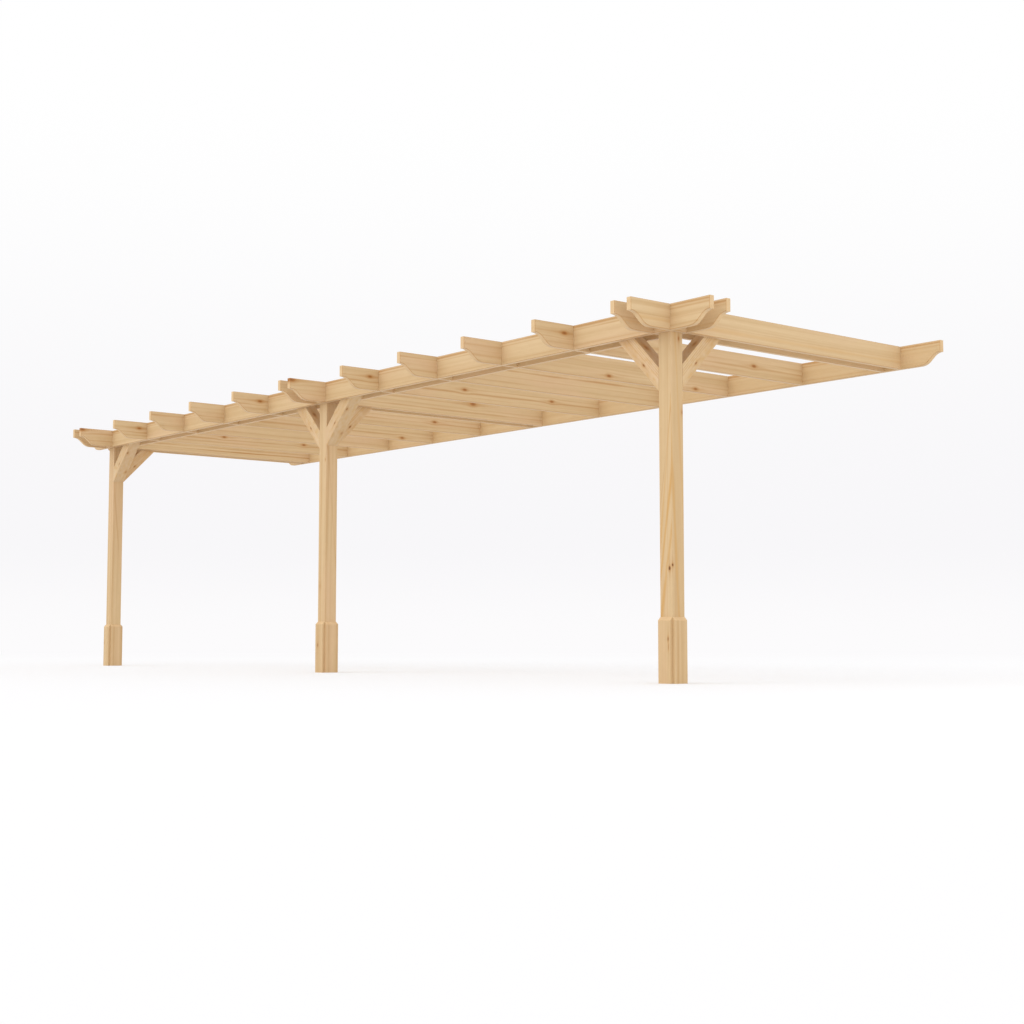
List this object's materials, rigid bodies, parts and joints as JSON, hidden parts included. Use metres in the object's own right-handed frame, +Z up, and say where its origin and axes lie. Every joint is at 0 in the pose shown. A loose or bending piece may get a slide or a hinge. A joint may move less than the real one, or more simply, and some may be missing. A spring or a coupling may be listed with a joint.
{
  "type": "wall-mounted pergola",
  "caption": "Open timber pergola roof of halved rafters on a post row with knee braces and paired front beams, fixed to a wall by a back plate.",
  "frame": {"origin": "middle of the back face of the wall plate, where it lies on the wall", "axes": "+X along the wall, +Y out of the plate's back face into the wall, +Z up; the ground is 2.0275 m below the origin"},
  "size_m": [7.8, 2.4, 2.1],
  "materials": {
    "post_timber": "planed softwood, pale golden, uncoated",
    "skirt_timber": "planed softwood, pale golden, uncoated",
    "brace_timber": "planed softwood, pale golden, uncoated",
    "beam_timber": "planed softwood, pale golden, uncoated",
    "rafter_timber": "planed softwood, pale golden, uncoated",
    "plate_timber": "planed softwood, pale golden, uncoated"
  },
  "bodies": {
    "root": {"front_beam_inner": "beam_timber", "front_beam_outer": "beam_timber", "left_post": "post_timber", "left_post_brace_rear": "brace_timber", "left_post_brace_right": "brace_timber", "left_post_skirt_front": "skirt_timber", "left_post_skirt_left": "skirt_timber", "left_post_skirt_rear": "skirt_timber", "left_post_skirt_right": "skirt_timber", "middle_post": "post_timber", "middle_post_brace_left": "brace_timber", "middle_post_brace_rear": "brace_timber", "middle_post_brace_right": "brace_timber", "middle_post_skirt_front": "skirt_timber", "middle_post_skirt_left": "skirt_timber", "middle_post_skirt_rear": "skirt_timber", "middle_post_skirt_right": "skirt_timber", "rafter_01": "rafter_timber", "rafter_02": "rafter_timber", "rafter_03": "rafter_timber", "rafter_04": "rafter_timber", "rafter_05": "rafter_timber", "rafter_06": "rafter_timber", "rafter_07": "rafter_timber", "rafter_08": "rafter_timber", "rafter_09": "rafter_timber", "rafter_10": "rafter_timber", "rafter_11": "rafter_timber", "rafter_12": "rafter_timber", "rafter_13": "rafter_timber", "rafter_14": "rafter_timber", "right_post": "post_timber", "right_post_brace_left": "brace_timber", "right_post_brace_rear": "brace_timber", "right_post_skirt_front": "skirt_timber", "right_post_skirt_left": "skirt_timber", "right_post_skirt_rear": "skirt_timber", "right_post_skirt_right": "skirt_timber", "wall_plate": "plate_timber"}
  },
  "joints": []
}
